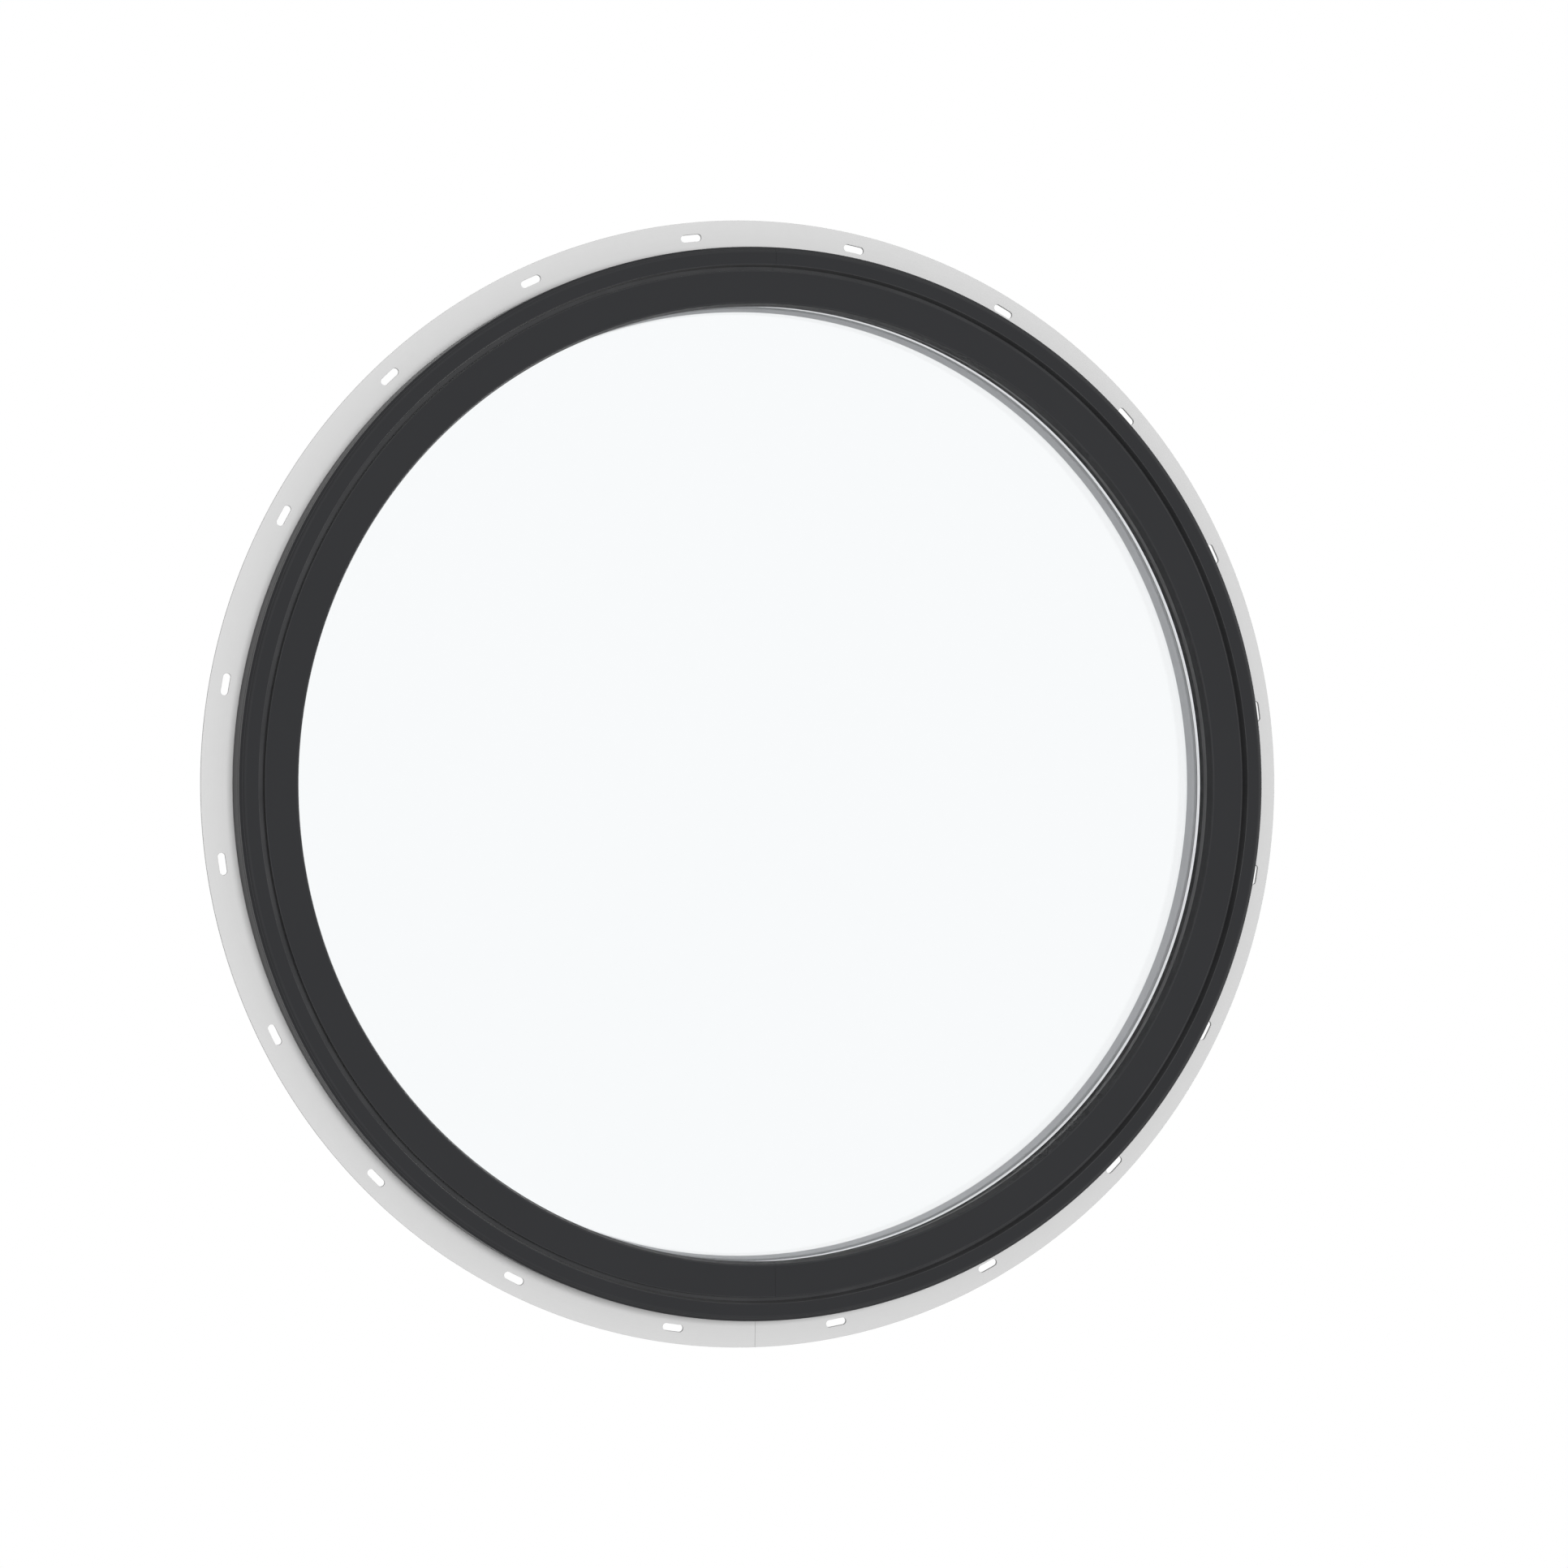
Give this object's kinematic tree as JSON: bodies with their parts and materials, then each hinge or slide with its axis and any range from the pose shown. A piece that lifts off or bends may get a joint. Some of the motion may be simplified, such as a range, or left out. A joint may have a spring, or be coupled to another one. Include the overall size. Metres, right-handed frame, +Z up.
{
  "type": "round fixed window with nailing fin",
  "caption": "Round fixed window for a wall opening: dark outer frame and glazing bead, clear insulating glass, pale room-side frame and slotted nailing fin.",
  "frame": {"origin": "centre of the nailing fin's back face, in the plane where the fin lies against the wall's sheathing", "axes": "+Z up with the window upright in its wall, -Y out towards the weather, +Y into the room, +X to the right seen from outside"},
  "size_m": [0.9999, 0.0603, 0.9999],
  "materials": {
    "charcoal_coat": "satin charcoal powder coat on aluminium",
    "white_coat": "satin white powder coat on aluminium",
    "strip_plastic": "matte black glass-filled plastic",
    "mill_aluminium": "mill finish",
    "screw_steel": "plain stainless steel",
    "gasket_rubber": "matte black",
    "foam_tape": "pale grey closed-cell foam",
    "fin_vinyl": "pale grey extruded vinyl",
    "clear_glass": "polished clear float glass",
    "spacer_metal": "bright roll-formed strip",
    "desiccant_beads": "dry beads",
    "butyl": "smooth dark sealant",
    "edge_sealant": "cured dark grey sealant",
    "block_rubber": "matte grey"
  },
  "bodies": {
    "root": {"exterior_frame": "charcoal_coat", "interior_frame": "white_coat", "thermal_strip_outer": "strip_plastic", "thermal_strip_inner": "strip_plastic", "exterior_joint_key": "mill_aluminium", "interior_joint_key": "mill_aluminium", "joint_key_screws": "screw_steel", "glazing_bead": "charcoal_coat", "bead_gasket": "gasket_rubber", "glazing_tape": "foam_tape", "nail_fin": "fin_vinyl", "outer_pane": "clear_glass", "inner_pane": "clear_glass", "spacer_bar": "spacer_metal", "spacer_key": "mill_aluminium", "desiccant": "desiccant_beads", "outer_butyl_seal": "butyl", "inner_butyl_seal": "butyl", "edge_seal": "edge_sealant", "setting_block_left": "block_rubber", "setting_block_right": "block_rubber", "locating_blocks": "block_rubber"}
  },
  "joints": []
}
